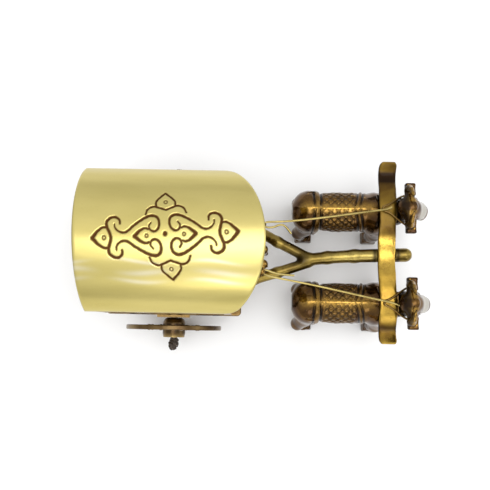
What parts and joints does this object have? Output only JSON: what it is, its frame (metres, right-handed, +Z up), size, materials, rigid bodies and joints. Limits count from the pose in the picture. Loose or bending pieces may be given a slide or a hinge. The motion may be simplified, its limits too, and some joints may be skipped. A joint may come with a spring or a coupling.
{
  "type": "bullock cart ornament",
  "caption": "Cast brass bullock cart ornament: hooded two-wheeled cart on a forked drawbar, yoked pair of bullocks, wire reins and a seated driver",
  "frame": {"origin": "on the ground below the middle of the whole group", "axes": "+X points forward, the way the bullocks walk; +Y to the cart's left; +Z up"},
  "size_m": [0.2487, 0.1444, 0.1301],
  "materials": {
    "polished_brass": "satin polished sheet brass with engraved, darkened grooves",
    "bright_plate": "polished sheet brass plate, lightly tarnished",
    "antique_brass": "lacquered antique brass casting, brown in the hollows and golden on the crests",
    "dark_brass": "dark patinated brass casting",
    "wire_brass": "drawn brass wire, slightly tarnished",
    "dark_iron": "rough dark oxidised iron"
  },
  "bodies": {
    "cart": {"bed_plate": "bright_plate", "seat_board": "antique_brass", "seat_screws": "dark_iron", "left_side_panel": "dark_brass", "right_side_panel": "dark_brass", "panel_screws": "dark_iron", "hood": "polished_brass", "left_axle_bracket": "antique_brass", "right_axle_bracket": "antique_brass", "bracket_screws": "dark_iron", "axle_rod": "dark_iron", "left_axle_knob": "dark_iron", "right_axle_knob": "dark_iron", "drawbar": "antique_brass", "drawbar_bolts": "dark_iron", "drawbar_nuts": "dark_iron", "yoke": "antique_brass", "yoke_screw": "dark_iron", "neck_pins": "dark_iron", "left_bullock": "antique_brass", "right_bullock": "antique_brass", "driver": "antique_brass", "driver_screw": "dark_iron", "left_bridle": "wire_brass", "right_bridle": "wire_brass", "left_rein": "wire_brass", "right_rein": "wire_brass"},
    "left_wheel": {"left_wheel": "antique_brass"},
    "right_wheel": {"right_wheel": "antique_brass"}
  },
  "joints": [
    {"name": "left_wheel_spin", "type": "hinge", "parent": "cart", "child": "left_wheel", "pos_m": [-0.0697, 0.0558, 0.03575], "axis": [0, 1, 0], "continuous": true},
    {"name": "right_wheel_spin", "type": "hinge", "parent": "cart", "child": "right_wheel", "pos_m": [-0.0697, -0.055, 0.03575], "axis": [0, 1, 0], "continuous": true}
  ]
}
